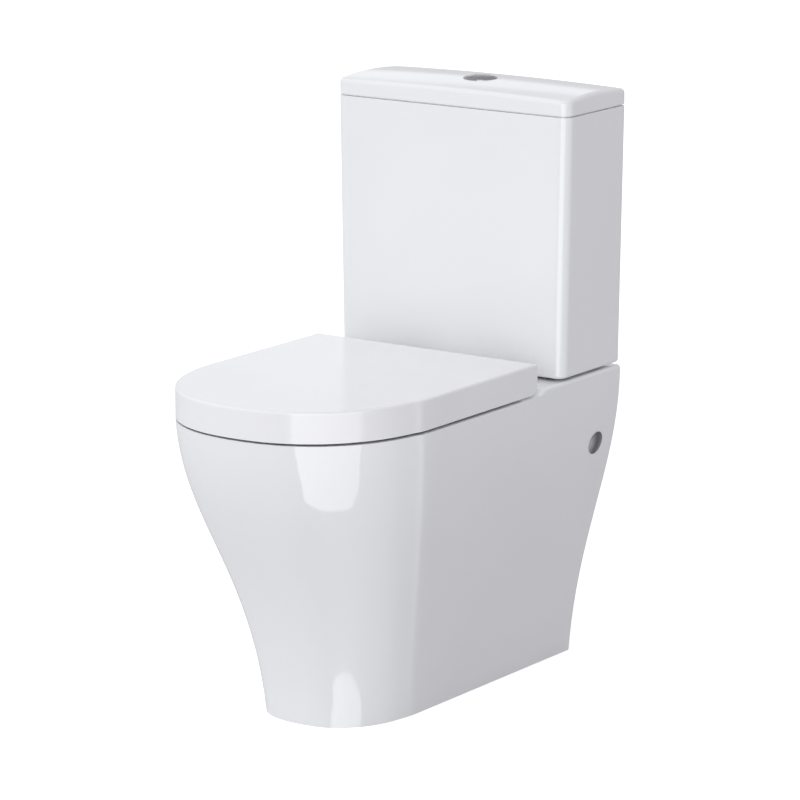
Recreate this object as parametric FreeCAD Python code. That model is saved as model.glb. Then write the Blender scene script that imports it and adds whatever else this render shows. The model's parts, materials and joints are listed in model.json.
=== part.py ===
"""Close coupled toilet: skirted pan, cistern with dual flush, wrap-over seat.

Millimetres. +Z is up, +X is to the right seen from the front, and the front
faces -Y. The origin is on the floor, midway between the wall and the front tip.
"""
import FreeCAD, Part
import math
import os

V = FreeCAD.Vector
UP = V(0, 0, 1)
RIGHT = V(1, 0, 0)
BACK = V(0, 1, 0)

# Overall sizes
PROJECTION = 650.0          # wall to the front tip of the seat lid
RIM_HEIGHT = 415.0          # floor to the rim that carries the seat
DECK_RISE = 8.0             # deck that carries the cistern, above the rim
DECK_HEIGHT = RIM_HEIGHT + DECK_RISE
WALL_Y = PROJECTION / 2

# Pan
RIM_HALF_WIDTH = 184.5
RIM_INSET = 2.0             # front tip of the rim behind the tip of the seat lid
FOOT_HALF_WIDTH = 104.0
FOOT_SETBACK = 141.0        # tip of the seat to the front of the foot
FOOT_REACH = PROJECTION - FOOT_SETBACK
RIM_NOSE = 211.0            # length of the rounded front, from the tip of the seat
RIM_STRAIGHT = PROJECTION - RIM_NOSE
FOOT_NOSE = 149.0
FOOT_STRAIGHT = FOOT_REACH - FOOT_NOSE
RIM_ROUNDNESS = 2.25        # exponent of the superellipse at the front
FOOT_ROUNDNESS = 2.5
PAN_WALL = 12.0
BACK_OVERRUN = 1.0          # behind the wall, trimmed off flat
PAN_TOP_WALL = 20.0
DECK_EDGE_RADIUS = 5.0
RAMP_RADIUS = 12.0          # where the deck turns down to the rim
RAMP_LENGTH = 17.0          # slope from the rim up to the deck, behind the seat
PAN_SECTIONS = 11           # plans that the skirt is lofted through
# Each side of the skirt is a Bezier curve from foot to rim. Its two handles are
# (share of the outward growth, share of the height).
WIDTH_HANDLES = ((0.186, 0.429), (1.0, 0.666))
REACH_HANDLES = ((0.15, 0.518), (0.912, 0.644))

# Bowl and trap
BOWL_SETBACK = 220.0        # tip of the seat to the middle of the bowl
BOWL_CENTRE = PROJECTION - BOWL_SETBACK
BOWL_HALF_WIDTH = 128.0
BOWL_HALF_LENGTH = 163.0
BOWL_BOTTOM = 165.0
BOWL_FLARE = 1.7            # how late the bowl opens out above the sump
SUMP_OFFSET = 45.0          # middle of the bowl back to the middle of the sump
SUMP_CENTRE = BOWL_CENTRE - SUMP_OFFSET
SUMP_RADIUS = 44.0
TRAP_RADIUS = 38.0
TRAP_LIFT = 3.0             # bottom of the trapway above the bottom of the sump
SPIGOT_RADIUS = 51.0        # 102 mm horizontal outlet
SPIGOT_WALL = 8.0
SPIGOT_BORE = SPIGOT_RADIUS - SPIGOT_WALL
SPIGOT_HEIGHT = 180.0
SPIGOT_END = 22.0           # wall to the end of the spigot
SPIGOT_START = 110.0
WEIR_HEIGHT = 235.0
WEIR_OFFSET = 123.0         # middle of the sump back to the weir
WEIR_CENTRE = SUMP_CENTRE - WEIR_OFFSET

# Cistern
TANK_TOP_HALF_WIDTH = 190.0
TANK_TAPER = 6.0            # each side, over the height of the tank
TANK_DEPTH = 150.0
TANK_GAP = 4.0              # between the deck and the cistern
TANK_BOTTOM = DECK_HEIGHT + TANK_GAP
TANK_HEIGHT = 359.0
TANK_TOP = TANK_BOTTOM + TANK_HEIGHT
TANK_WALL = 10.0
TANK_FLOOR = 12.0
TANK_FRONT_RADIUS = 15.0
TANK_REAR_RADIUS = 8.0
TANK_EDGE_RADIUS = 5.0
SEAM_GAP = 2.0
SEAM_DEPTH = 3.5
SEAT_GAP = 0.2              # between loose ceramic faces

# Cistern lid
LID_FRONT_HEIGHT = 19.6     # from the seam to the top edge, at the front corners
LID_ARCH = 5.5              # rise from the front edge to the middle
LID_CROWN = 3.4             # rise from the sides to the middle
LID_TOP_WALL = 9.0
LIP_DEPTH = 8.0
LIP_WALL = 6.0
LIP_CLEARANCE = 2.0
LID_EDGE_RADIUS = 6.5

# Buttons
BUTTON_CENTRE = 75.0        # wall to the axis of the buttons and the flush valve
COLLAR_BORE = 19.0
COLLAR_RIM = 4.5
COLLAR_RADIUS = COLLAR_BORE + COLLAR_RIM
COLLAR_EDGE = 0.6           # from the lid to the edge of the domed bezel
COLLAR_SINK = 1.2           # of the bezel below the crown of the lid
DOME_RISE = 4.0             # of the dome that the bezel and the buttons share
HOUSING_BORE = COLLAR_BORE + 0.4
HOUSING_WALL = 1.6
HOUSING_RADIUS = HOUSING_BORE + HOUSING_WALL
LID_HOLE_RADIUS = HOUSING_RADIUS + 0.6
BUTTON_CLEARANCE = 0.5      # between the buttons and the collar
BUTTON_RADIUS = COLLAR_BORE - BUTTON_CLEARANCE
BUTTON_GAP = 0.8            # between the two buttons
BUTTON_SPLIT = -4.0         # the split is off centre, the full flush is larger
BUTTON_DEPTH = 5.0          # from the lid to the underside of the buttons
HOUSING_FLOOR = 2.0
HOUSING_DEPTH = 36.0
ROD_RADIUS = 2.5
ROD_OFFSET = 10.5
ROD_GAP = 0.9               # between a push rod and its lever
ROD_HOLE_CLEARANCE = 0.4

# Seat
HINGE_Y = 222.0             # wall to the hinge axis
HINGE_SETBACK = 15.0        # rear edge of the seat lid to the hinge axis
SEAT_REAR = HINGE_Y - HINGE_SETBACK
RAMP_FRONT = SEAT_REAR
RAMP_REAR = RAMP_FRONT - RAMP_LENGTH
SEAT_INSET = 2.5            # side of the rim to the side of the seat lid
SEAT_HALF_WIDTH = RIM_HALF_WIDTH - SEAT_INSET
SEAT_NOSE = 210.0
SEAT_STRAIGHT = PROJECTION - SEAT_NOSE
SEAT_HEIGHT = 45.0          # rim to the top of the seat lid
SEAT_TOP = RIM_HEIGHT + SEAT_HEIGHT
SKIRT_GAP = 3.5             # rim to the skirt of the seat lid
SKIRT_BOTTOM = RIM_HEIGHT + SKIRT_GAP
SEAT_LID_WALL = 4.0
SEAT_EDGE_RADIUS = 3.5
SEAT_REAR_CORNER = 16.0     # lower rear corner in side view
RING_CLEARANCE = 1.5        # between the ring and the skirt of the lid
RING_GAP = 6.0              # rim to the underside of the ring
RING_BOTTOM = RIM_HEIGHT + RING_GAP
RING_HEIGHT = 27.0
RING_TOP = RING_BOTTOM + RING_HEIGHT
RING_WALL = 3.5
RING_HOLE_SETBACK = 215.0   # tip of the seat to the middle of the opening
RING_HOLE_CENTRE = PROJECTION - RING_HOLE_SETBACK
RING_HOLE_HALF_WIDTH = 108.0
RING_HOLE_HALF_LENGTH = 135.0
HINGE_RISE = 26.0           # rim to the hinge axis
HINGE_Z = RIM_HEIGHT + HINGE_RISE
REAR_SWEEP = 25.5           # hinge axis to the ring, clear of the rear wall of the open lid
RING_REAR = HINGE_Y + REAR_SWEEP
FIXING_SPACING = 155.0      # between the two seat fixings
LUG_RADIUS = 10.0
POST_HALF_WIDTH = 8.0
LUG_WIDTH = 10.0
LUG_GAP = 0.6
PIN_RADIUS = 3.0
RUNNING = 0.05              # radial clearance of a running fit
NOTCH_HALF_WIDTH = 29.0
NOTCH_RISE = 12.0           # hinge axis to the top of the notch
NOTCH_TOP = HINGE_Z + NOTCH_RISE
BASE_COVER_RADIUS = 14.0
BASE_COVER_HEIGHT = 2.5
SEAT_BOLT_RADIUS = 4.0
SEAT_HOLE_RADIUS = 7.0
BUFFER_RADIUS = 8.0

# Side fixings
FIXING_Y = 45.0             # wall to the side fixings
FIXING_DROP = 96.0          # rim down to the side fixings
FIXING_Z = RIM_HEIGHT - FIXING_DROP
CAP_RADIUS = 17.8
CAP_PROUD = 3.0
CAP_GAP = 0.5               # behind the flat rim of the cap
FIXING_HOLE_RADIUS = 10.0
CLAMP_RADIUS = 3.0
CLAMP_HEAD_RADIUS = 6.0
CLAMP_SHOULDER = 5.0        # ceramic under the head of the clamp screw
BRACKET_THICKNESS = 4.0
BRACKET_GAP = 4.0           # between the bracket and the inside of the skirt
BRACKET_SCREW_X = 125.0
BRACKET_HOLE_RADIUS = 3.5

# Flush valve and close coupling
TAIL_RADIUS = 30.0
TAIL_BORE = 26.0
TAIL_CLEARANCE = 0.6
TAIL_DROP = 23.0            # end of the tail below the floor of the cistern
TAIL_END = TANK_BOTTOM - TAIL_DROP
FLANGE_RADIUS = 38.0
FLANGE_THICKNESS = 4.0
BACK_NUT_RADIUS = 36.0
BACK_NUT_HEIGHT = 14.0
BACK_NUT_BOTTOM = TANK_BOTTOM - BACK_NUT_HEIGHT
INLET_RECESS_RADIUS = 45.0
INLET_RECESS_DEPTH = 25.0
INLET_RECESS_FLOOR = DECK_HEIGHT - INLET_RECESS_DEPTH
FLUSH_BORE = 22.0
FLUSH_DROP = 47.0           # rim down to the axis of the flush channel
FLUSH_HEIGHT = RIM_HEIGHT - FLUSH_DROP
CAGE_HEIGHT = 133.0         # above the underside of the cistern
CAGE_TOP = TANK_BOTTOM + CAGE_HEIGHT
CAGE_WALL = 3.0
OVERFLOW_RADIUS = 13.0
OVERFLOW_BORE = 11.0
OVERFLOW_DROP = 50.0        # levers down to the top of the overflow pipe
SEAL_THICKNESS = 3.0
LEVER_DROP = 96.0           # top of the cistern down to the levers
LEVER_Z = TANK_TOP - LEVER_DROP
OVERFLOW_TOP = LEVER_Z - OVERFLOW_DROP
LEVER_ARM = 26.0
LEVER_THICKNESS = 6.0
LEVER_WIDTH = 8.0
COUPLING_BOLT_RADIUS = 4.0
WING_REACH = 4.2            # half span of a wing nut, in bolt radii
WING_ROOM = 1.2             # between the wing nuts and the flush channel
COUPLING_SPACING = 2 * (INLET_RECESS_RADIUS + PAN_WALL + WING_REACH * COUPLING_BOLT_RADIUS + WING_ROOM)
COUPLING_HOLE_RADIUS = 7.0
PLATE_THICKNESS = 2.5

# Fill valve
FILL_X = -140.0
FILL_TAIL_RADIUS = 10.48    # G 1/2
FILL_TAIL_DROP = 52.0       # end of the thread below the cistern
FILL_TAIL_END = TANK_BOTTOM - FILL_TAIL_DROP
FILL_NECK_RADIUS = 10.2     # the tail above its free thread
FILL_NUT_HEIGHT = 12.0
FILL_STEM_RADIUS = 12.0
FILL_DROP = 74.0            # top of the cistern down to the fill valve head
FILL_TOP = TANK_TOP - FILL_DROP
DECK_HOLE_RADIUS = 24.0
FLOAT_RADIUS = 27.0
FLOAT_HEIGHT = 55.0
FLOAT_DROP = 57.0           # head of the fill valve down to the top of the float
FLOAT_TOP = FILL_TOP - FLOAT_DROP
FLOAT_BOTTOM = FLOAT_TOP - FLOAT_HEIGHT
FLOAT_CLEARANCE = 0.6
FLOAT_ARM = 24.0
FLOAT_LEVER_RISE = 10.0     # lever above the head of the fill valve
FLOAT_LEVER_Z = FILL_TOP + FLOAT_LEVER_RISE
FLOAT_PIVOT_Y = 62.0        # wall to the pivot of the fill valve lever
FLOAT_LINK_GAP = 0.9

LARGE = 1000.0


# ---------------------------------------------------------------- helpers
def at(x, from_wall, z):
    """Point given by its distance from the wall plane."""
    return V(x, WALL_Y - from_wall, z)


def block(x0, x1, d0, d1, z0, z1):
    """Box between two distances from the wall."""
    corner = at(x0, d1, z0)
    return Part.makeBox(x1 - x0, d1 - d0, z1 - z0, corner)


def rod(radius, start, end):
    axis = end - start
    return Part.makeCylinder(radius, axis.Length, start, axis)


def upright(radius, x, from_wall, z0, z1):
    return rod(radius, at(x, from_wall, z0), at(x, from_wall, z1))


def ring(outer, inner, x, from_wall, z0, z1):
    return upright(outer, x, from_wall, z0, z1).cut(upright(inner, x, from_wall, z0, z1))


def front_curve(half_width, straight, tip, roundness, z):
    """Superelliptic nose from the left side round to the right."""
    steps = 16
    points = []
    for i in range(steps + 1):
        angle = math.pi * i / steps
        x = -math.copysign(abs(math.cos(angle)) ** (2 / roundness), math.cos(angle))
        reach = math.sin(angle) ** (2 / roundness) if 0 < i < steps else 0.0
        points.append(at(x * half_width, straight + (tip - straight) * reach, z))
    curve = Part.BSplineCurve()
    curve.interpolate(Points=points, InitialTangent=V(0, -1, 0), FinalTangent=V(0, 1, 0))
    return curve.toShape()


def nose_wire(half_width, rear, straight, tip, roundness, z):
    """Straight rear and sides with a superelliptic front."""
    nose = front_curve(half_width, straight, tip, roundness, z)
    right = Part.makeLine(at(half_width, straight, z), at(half_width, rear, z))
    back = Part.makeLine(at(half_width, rear, z), at(-half_width, rear, z))
    left = Part.makeLine(at(-half_width, rear, z), at(-half_width, straight, z))
    return Part.Wire([nose, right, back, left])


def extrude(wire, height):
    return Part.Face(wire).extrude(V(0, 0, height))


def ellipse_wire(half_width, half_length, from_wall, z):
    centre = at(0, from_wall, z)
    if half_length > half_width:
        shape = Part.Ellipse(centre + V(0, half_length, 0), centre + V(half_width, 0, 0), centre)
    else:
        shape = Part.Circle(centre, UP, half_width)
    return Part.Wire([shape.toShape()])


def rounded_wire(half_width, d0, d1, rear_radius, front_radius, z):
    """Rectangle with rounded corners, from the wall side to the front."""
    r, f = rear_radius, front_radius
    s = math.sqrt(0.5)
    corners = (
        (at(half_width - r, d0, z), at(half_width - r + r * s, d0 + r - r * s, z), at(half_width, d0 + r, z)),
        (at(half_width, d1 - f, z), at(half_width - f + f * s, d1 - f + f * s, z), at(half_width - f, d1, z)),
        (at(f - half_width, d1, z), at(f - half_width - f * s, d1 - f + f * s, z), at(-half_width, d1 - f, z)),
        (at(-half_width, d0 + r, z), at(r - half_width - r * s, d0 + r - r * s, z), at(r - half_width, d0, z)),
    )
    edges = []
    for i, (start, middle, end) in enumerate(corners):
        edges.append(Part.Arc(start, middle, end).toShape())
        edges.append(Part.makeLine(end, corners[(i + 1) % len(corners)][0]))
    return Part.Wire(edges)


def side_profile(points, half_width):
    """Extrude a polygon of (from wall, z) points across the full width."""
    corners = [at(-half_width, d, z) for d, z in points]
    face = Part.Face(Part.makePolygon(corners + corners[:1]))
    return face.extrude(V(2 * half_width, 0, 0))


def edges_at_height(shape, z, tolerance=0.01):
    found = []
    for edge in shape.Edges:
        box = edge.BoundBox
        if abs(box.ZMin - z) < tolerance and abs(box.ZMax - z) < tolerance:
            found.append(edge)
    return found


def one_solid(shape):
    """The only solid of a boolean result, without its wrapper."""
    if len(shape.Solids) != 1:
        raise ValueError("expected one solid, got %d" % len(shape.Solids))
    return shape.Solids[0]


def both_sides(make):
    """The same piece at +X and at -X, as two solids."""
    return Part.makeCompound([make(1), make(-1)])


# ---------------------------------------------------------------- ceramics
def bezier(share, first, second):
    """One coordinate of a cubic curve from 0 to 1."""
    rest = 1 - share
    return 3 * rest ** 2 * share * first + 3 * rest * share ** 2 * second + share ** 3


def growth(height_share, handles):
    """Share of the outward growth at a share of the height."""
    low, high = 0.0, 1.0
    for _ in range(40):
        middle = (low + high) / 2
        if bezier(middle, handles[0][1], handles[1][1]) < height_share:
            low = middle
        else:
            high = middle
    return bezier(low, handles[0][0], handles[1][0])


def skirt_half_width(height_share):
    return FOOT_HALF_WIDTH + growth(height_share, WIDTH_HANDLES) * (RIM_HALF_WIDTH - FOOT_HALF_WIDTH)


def pan_section(height_share, inset=0.0):
    """Plan of the pan at a share of its height, drawn in by an inset."""
    width_share = growth(height_share, WIDTH_HANDLES)
    reach_share = growth(height_share, REACH_HANDLES)
    tip = FOOT_REACH + reach_share * (PROJECTION - RIM_INSET - FOOT_REACH)
    straight = FOOT_STRAIGHT + width_share * (RIM_STRAIGHT - FOOT_STRAIGHT)
    roundness = FOOT_ROUNDNESS + width_share * (RIM_ROUNDNESS - FOOT_ROUNDNESS)
    half_width = skirt_half_width(height_share) - inset
    return nose_wire(half_width, -BACK_OVERRUN, straight, tip - inset, roundness, height_share * DECK_HEIGHT)


def pan_loft(inset):
    shares = [i / (PAN_SECTIONS - 1) for i in range(PAN_SECTIONS)]
    return Part.makeLoft([pan_section(share, inset) for share in shares], True, False)


def pan_body():
    """Outside of the pan, cut flat at the wall."""
    return pan_loft(0.0).cut(block(-LARGE, LARGE, -LARGE, 0, -LARGE, LARGE))


def pan_cavity():
    """Space inside the skirt, open at the back and underneath."""
    top = RIM_HEIGHT - PAN_TOP_WALL
    cavity = pan_loft(PAN_WALL).cut(block(-LARGE, LARGE, -LARGE, LARGE, top, LARGE))
    return cavity.fuse(cavity.translated(V(0, 0, -1.0)))


def bowl(thickness):
    """Inside of the bowl grown by a wall thickness."""
    depth = RIM_HEIGHT - BOWL_BOTTOM
    top = RIM_HEIGHT + 1 if thickness == 0 else RIM_HEIGHT - PAN_TOP_WALL + 1
    sections = 9
    wires = []
    for i in range(sections):
        height_share = 1 - i / (sections - 1)
        size_share = math.sin(height_share * math.pi / 2) ** BOWL_FLARE
        width = SUMP_RADIUS + size_share * (BOWL_HALF_WIDTH - SUMP_RADIUS) + thickness
        length = SUMP_RADIUS + 2 + size_share * (BOWL_HALF_LENGTH - SUMP_RADIUS - 2) + thickness
        centre = SUMP_CENTRE + size_share * (BOWL_CENTRE - SUMP_CENTRE)
        z = BOWL_BOTTOM - thickness + height_share * (depth + thickness)
        wires.append(ellipse_wire(width, length, centre, z))
    solid = Part.makeLoft(wires, True, False)
    if thickness == 0:
        rim = ellipse_wire(BOWL_HALF_WIDTH, BOWL_HALF_LENGTH, BOWL_CENTRE, RIM_HEIGHT - 0.5)
        return solid.fuse(extrude(rim, LARGE / 10))
    return solid.cut(block(-LARGE, LARGE, -LARGE, LARGE, top, LARGE))


def pipe_run(points, radius):
    """Straight pipes joined by balls at the bends."""
    pieces = [rod(radius, a, b) for a, b in zip(points, points[1:])]
    pieces += [Part.makeSphere(radius, p) for p in points[1:-1]]
    return pieces[0].fuse(pieces[1:])


def trap(radius):
    """Trapway from the sump over the weir and down to the spigot."""
    low = BOWL_BOTTOM + TRAP_RADIUS + TRAP_LIFT
    sump = at(0, SUMP_CENTRE, low)
    dip = at(0, SUMP_CENTRE - TRAP_RADIUS, low)
    weir = at(0, WEIR_CENTRE, WEIR_HEIGHT + TRAP_RADIUS)
    fall = at(0, WEIR_CENTRE - 1.7 * TRAP_RADIUS, SPIGOT_HEIGHT + TRAP_RADIUS / 2)
    level = at(0, SPIGOT_START + TRAP_RADIUS, SPIGOT_HEIGHT)
    outlet = at(0, SPIGOT_START - 5, SPIGOT_HEIGHT)
    return pipe_run([sump, dip, weir, fall, level, outlet], radius)


def spigot(radius, overrun):
    start = at(0, SPIGOT_START, SPIGOT_HEIGHT)
    return rod(radius, start, at(0, SPIGOT_END - overrun, SPIGOT_HEIGHT))


def flush_way(wall):
    """Flush inlet under the cistern and its channel to the back of the bowl."""
    reach = BOWL_CENTRE - BOWL_HALF_LENGTH + 20
    low = FLUSH_HEIGHT - FLUSH_BORE - wall
    drop = upright(FLUSH_BORE + wall, 0, BUTTON_CENTRE, FLUSH_HEIGHT, INLET_RECESS_FLOOR + 1)
    along = rod(FLUSH_BORE + wall, at(0, BUTTON_CENTRE - FLUSH_BORE - wall, FLUSH_HEIGHT),
                at(0, reach, FLUSH_HEIGHT))
    if wall == 0:
        recess = upright(INLET_RECESS_RADIUS, 0, BUTTON_CENTRE, INLET_RECESS_FLOOR, DECK_HEIGHT + 1)
        return drop.fuse([along, recess])
    housing = upright(INLET_RECESS_RADIUS + wall, 0, BUTTON_CENTRE, low, INLET_RECESS_FLOOR + 1)
    return housing.fuse(along)


def rim_cut():
    """Everything above the rim in front of the cistern deck."""
    high = DECK_HEIGHT + 50
    return side_profile(((RAMP_REAR, DECK_HEIGHT), (RAMP_FRONT, RIM_HEIGHT), (LARGE, RIM_HEIGHT),
                         (LARGE, high), (RAMP_REAR, high)), LARGE)


def side_fixing_frame(side):
    """Point on the skirt at the side fixing, and the outward normal there."""
    share, step = FIXING_Z / DECK_HEIGHT, 0.001
    rise = skirt_half_width(share + step) - skirt_half_width(share - step)
    normal = V(side, 0, -rise / (2 * step * DECK_HEIGHT))
    normal.normalize()
    return at(side * skirt_half_width(share), FIXING_Y, FIXING_Z), normal


def side_fixing_holes():
    holes = []
    for side in (1, -1):
        point, normal = side_fixing_frame(side)
        shoulder = PAN_WALL - CLAMP_SHOULDER
        holes.append(rod(FIXING_HOLE_RADIUS, point - normal * shoulder, point + normal * 20))
        holes.append(rod(CLAMP_RADIUS + 1, point - normal * (PAN_WALL + 10), point))
    return holes


def pan_holes():
    holes = side_fixing_holes()
    for side in (1, -1):
        bolt_x = side * COUPLING_SPACING / 2
        seat_x = side * FIXING_SPACING / 2
        holes.append(upright(COUPLING_HOLE_RADIUS, bolt_x, BUTTON_CENTRE, FLUSH_HEIGHT, LARGE))
        holes.append(upright(SEAT_HOLE_RADIUS, seat_x, HINGE_Y, FLUSH_HEIGHT, LARGE))
    holes.append(upright(DECK_HOLE_RADIUS, FILL_X, BUTTON_CENTRE, FLUSH_HEIGHT, LARGE))
    return holes


def waterway():
    """Everything that water runs through, as one cutter."""
    return bowl(0).fuse([trap(TRAP_RADIUS), flush_way(0), spigot(SPIGOT_BORE, 1)])


def deck_side_edges(body):
    """Edges down both sides of the deck and its ramp."""
    rim_end = WALL_Y - RAMP_FRONT
    return [e for e in body.Edges if e.BoundBox.XLength < DECK_EDGE_RADIUS and e.BoundBox.YMin > rim_end - 1
            and e.BoundBox.ZMin > RIM_HEIGHT - 1 and e.BoundBox.ZMax > RIM_HEIGHT + 1]


def pan():
    """Skirt, rim and cistern deck."""
    body = one_solid(pan_body().cut(rim_cut()))
    ramp_top = [e for e in edges_at_height(body, DECK_HEIGHT)
                if e.BoundBox.XLength > 1 and e.BoundBox.YMax < WALL_Y - 1]
    body = one_solid(body.makeFillet(RAMP_RADIUS, ramp_top))
    body = body.makeFillet(DECK_EDGE_RADIUS, deck_side_edges(body))
    for piece in [pan_cavity(), waterway()] + pan_holes():
        body = body.cut(piece)
    return one_solid(body)


def pan_bowl():
    """Bowl and sump, stuck under the rim before firing."""
    return one_solid(bowl(PAN_WALL).common(pan_cavity()).cut(waterway()))


def outer_trapway():
    return trap(TRAP_RADIUS + PAN_WALL).fuse(spigot(SPIGOT_RADIUS, 0))


def pan_trapway():
    """Trapway behind the bowl, with the outlet spigot."""
    body = outer_trapway().common(pan_cavity()).cut(bowl(PAN_WALL)).cut(waterway())
    return max(body.Solids, key=lambda solid: solid.Volume)


def pan_flush_channel():
    """Channel from the cistern inlet to the back of the bowl."""
    body = flush_way(PAN_WALL).common(pan_cavity()).cut(bowl(PAN_WALL)).cut(outer_trapway())
    return one_solid(body.cut(waterway()))


def tank_wire(z, inset):
    share = (TANK_TOP - z) / (TANK_TOP - TANK_BOTTOM)
    half_width = TANK_TOP_HALF_WIDTH - TANK_TAPER * share - inset
    rear, front = max(TANK_REAR_RADIUS - inset, 2), max(TANK_FRONT_RADIUS - inset, 2)
    return rounded_wire(half_width, inset, TANK_DEPTH - inset, rear, front, z)


def cistern_tank():
    body = Part.makeLoft([tank_wire(TANK_BOTTOM, 0), tank_wire(TANK_TOP, 0)], True, True)
    body = body.makeFillet(TANK_EDGE_RADIUS, edges_at_height(body, TANK_BOTTOM))
    inside = Part.makeLoft([tank_wire(TANK_BOTTOM + TANK_FLOOR, TANK_WALL), tank_wire(TANK_TOP + 1, TANK_WALL)],
                           True, True)
    body = body.cut(inside)
    body = body.cut(upright(TAIL_RADIUS + TAIL_CLEARANCE, 0, BUTTON_CENTRE, 0, LARGE / 2))
    body = body.cut(upright(FILL_TAIL_RADIUS + TAIL_CLEARANCE, FILL_X, BUTTON_CENTRE, 0, LARGE / 2))
    for side in (1, -1):
        hole = upright(COUPLING_BOLT_RADIUS + 1, side * COUPLING_SPACING / 2, BUTTON_CENTRE, 0, LARGE / 2)
        body = body.cut(hole)
    return one_solid(body)


def lid_section(share):
    """Crowned cross-section of the cistern lid, at a share of the depth."""
    half_width = TANK_TOP_HALF_WIDTH + 5
    arch = LID_ARCH * (1 - (2 * share - 1) ** 2)
    base = TANK_TOP + LID_FRONT_HEIGHT + arch + SEAM_GAP
    from_wall = -5 + share * (TANK_DEPTH + 10)
    low_left, low_right = at(-half_width, from_wall, TANK_TOP + SEAT_GAP), at(half_width, from_wall,
                                                                             TANK_TOP + SEAT_GAP)
    left, right = at(-half_width, from_wall, base), at(half_width, from_wall, base)
    crown = Part.Arc(left, at(0, from_wall, base + LID_CROWN), right).toShape()
    return Part.Wire([Part.makeLine(low_left, left), crown, Part.makeLine(right, low_right),
                      Part.makeLine(low_right, low_left)])


def lid_outline(inset, z, height):
    wire = rounded_wire(TANK_TOP_HALF_WIDTH - inset, inset, TANK_DEPTH - inset, max(TANK_REAR_RADIUS - inset, 2),
                        max(TANK_FRONT_RADIUS - inset, 2), z)
    return extrude(wire, height)


def top_edges(shape, low, high):
    """Edges of the crowned top, which lie between two heights and aren't upright."""
    found = []
    for edge in shape.Edges:
        box = edge.BoundBox
        if box.ZMin > low and box.ZMax < high:
            found.append(edge)
    return found


def cistern_lid():
    bottom = TANK_TOP + SEAT_GAP
    crown = Part.makeLoft([lid_section(i / 4) for i in range(5)], True, False)
    body = one_solid(crown.common(lid_outline(0, bottom, 60)))
    edges = top_edges(body, TANK_TOP + LID_FRONT_HEIGHT - 2, LARGE)
    body = body.makeFillet(LID_EDGE_RADIUS, edges)
    seam = lid_outline(-5, bottom - 1, SEAM_GAP + 1).cut(lid_outline(SEAM_DEPTH, bottom - 2, 10))
    body = body.cut(seam)
    pocket = lid_outline(TANK_WALL + LIP_CLEARANCE + LIP_WALL, bottom - 20,
                         20 + LID_FRONT_HEIGHT + SEAM_GAP - LID_TOP_WALL)
    lip = lid_outline(TANK_WALL + LIP_CLEARANCE, bottom - LIP_DEPTH, LIP_DEPTH + 1)
    body = body.fuse(lip).cut(pocket)
    return one_solid(body.cut(upright(LID_HOLE_RADIUS, 0, BUTTON_CENTRE, 0, LARGE)))


# ---------------------------------------------------------------- seat
def seat_plate(inset, rear, z, height):
    """Plan of the seat drawn in by an inset, extruded upward."""
    wire = nose_wire(SEAT_HALF_WIDTH - inset, rear, SEAT_STRAIGHT, PROJECTION - inset, RIM_ROUNDNESS, z)
    return extrude(wire, height)


def lug_span(inner, outer, side):
    """Range of X from an inner to an outer distance from one post's centre."""
    a = side * (FIXING_SPACING / 2 + inner)
    b = side * (FIXING_SPACING / 2 + outer)
    return min(a, b), max(a, b)


def hinge_rod(radius, x0, x1):
    return rod(radius, at(x0, HINGE_Y, HINGE_Z), at(x1, HINGE_Y, HINGE_Z))


def hinge_bore():
    """Bore through the lugs, ending short of the skirt of the lid."""
    reach = FIXING_SPACING / 2 + POST_HALF_WIDTH + LUG_WIDTH + 4
    return hinge_rod(PIN_RADIUS + RUNNING, -reach, reach)


def ring_lug(side):
    """Lug of the seat ring on the inner side of a post."""
    x0, x1 = lug_span(-POST_HALF_WIDTH - LUG_GAP - LUG_WIDTH, -POST_HALF_WIDTH - LUG_GAP, side)
    arm = block(x0, x1, HINGE_Y, RING_REAR + 2, HINGE_Z - LUG_RADIUS + 2, RING_TOP - 1)
    return hinge_rod(LUG_RADIUS, x0, x1).fuse(arm)


def lid_lug(side):
    """Lug of the seat lid on the outer side of a post."""
    x0, x1 = lug_span(POST_HALF_WIDTH + LUG_GAP, POST_HALF_WIDTH + LUG_GAP + LUG_WIDTH, side)
    low = HINGE_Z
    arm = block(x0, x1, HINGE_Y - LUG_RADIUS, HINGE_Y + LUG_RADIUS, low, SEAT_TOP - SEAT_LID_WALL + 1)
    return hinge_rod(LUG_RADIUS, x0, x1).fuse(arm)


def seat_lid():
    """Wrap-over lid: a plate with a skirt, notched for the two posts."""
    body = seat_plate(0, SEAT_REAR, SKIRT_BOTTOM, SEAT_TOP - SKIRT_BOTTOM)
    body = body.makeFillet(SEAT_EDGE_RADIUS, edges_at_height(body, SEAT_TOP))
    r = SEAT_REAR_CORNER
    corner = block(-LARGE, LARGE, SEAT_REAR - 1, SEAT_REAR + r, SKIRT_BOTTOM - 1, SKIRT_BOTTOM + r)
    corner = corner.cut(rod(r, at(-LARGE, SEAT_REAR + r, SKIRT_BOTTOM + r), at(LARGE, SEAT_REAR + r,
                                                                              SKIRT_BOTTOM + r)))
    body = body.cut(corner)
    wall = SEAT_LID_WALL
    inside = seat_plate(wall, SEAT_REAR + wall, SKIRT_BOTTOM - 1, SEAT_TOP - wall - SKIRT_BOTTOM + 1)
    body = body.cut(inside)
    for side in (1, -1):
        x = side * FIXING_SPACING / 2
        notch = block(x - NOTCH_HALF_WIDTH, x + NOTCH_HALF_WIDTH, SEAT_REAR - 1, HINGE_Y, SKIRT_BOTTOM - 1,
                      NOTCH_TOP)
        body = body.cut(notch).fuse(lid_lug(side))
    return one_solid(body.cut(hinge_bore()))


def ring_hole(grow, z, height):
    wire = ellipse_wire(RING_HOLE_HALF_WIDTH + grow, RING_HOLE_HALF_LENGTH + grow, RING_HOLE_CENTRE, z)
    return extrude(wire, height)


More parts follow.
